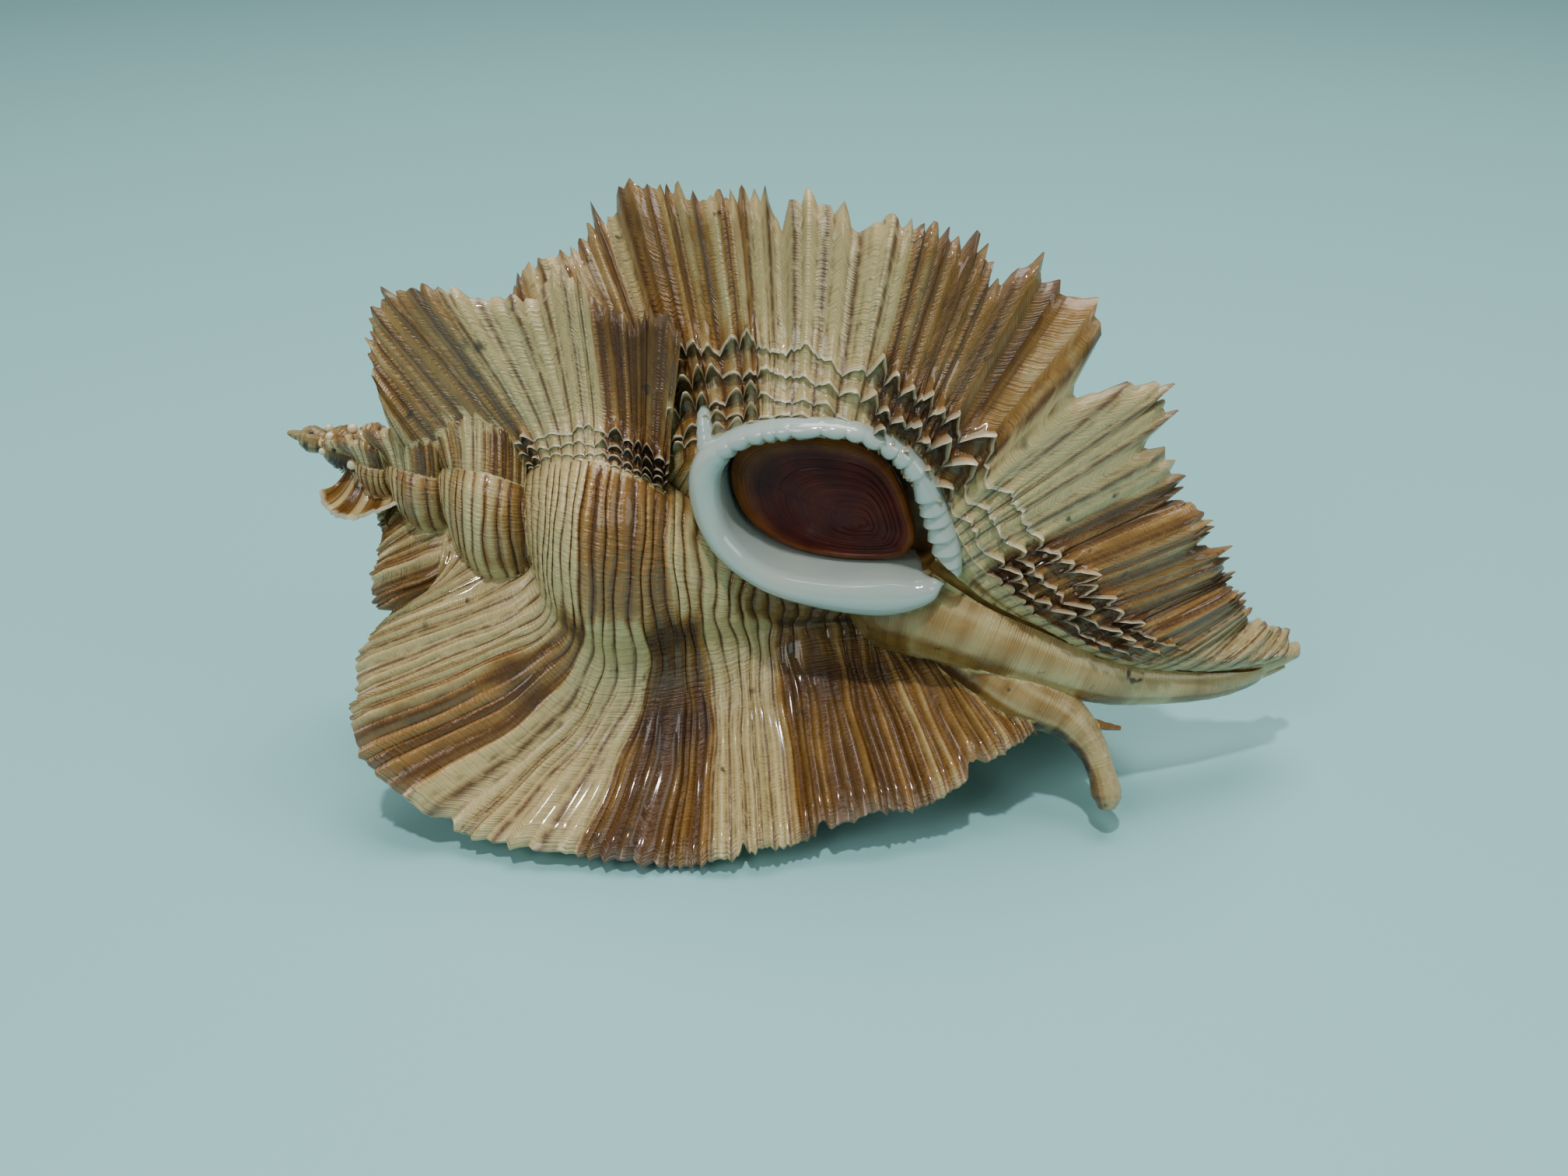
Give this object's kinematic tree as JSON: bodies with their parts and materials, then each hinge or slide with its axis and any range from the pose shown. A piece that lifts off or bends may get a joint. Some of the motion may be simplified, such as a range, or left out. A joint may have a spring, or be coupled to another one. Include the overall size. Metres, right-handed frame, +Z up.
{
  "type": "winged murex shell",
  "caption": "Winged sea snail shell with frilled, ribbed wings, a folded white lip, a long canal and a horny lid closing its mouth.",
  "frame": {"origin": "centre of the bounding box at its base, on the surface the shell lies on", "axes": "+X from the spire towards the canal, -Y the way the aperture faces, +Z up"},
  "size_m": [0.0768, 0.041, 0.0448],
  "materials": {
    "shell_lime": "banded brown and cream, wet gloss",
    "horn": "satin dark red-brown horn"
  },
  "bodies": {
    "root": {"shell": "shell_lime", "operculum": "horn"}
  },
  "joints": []
}
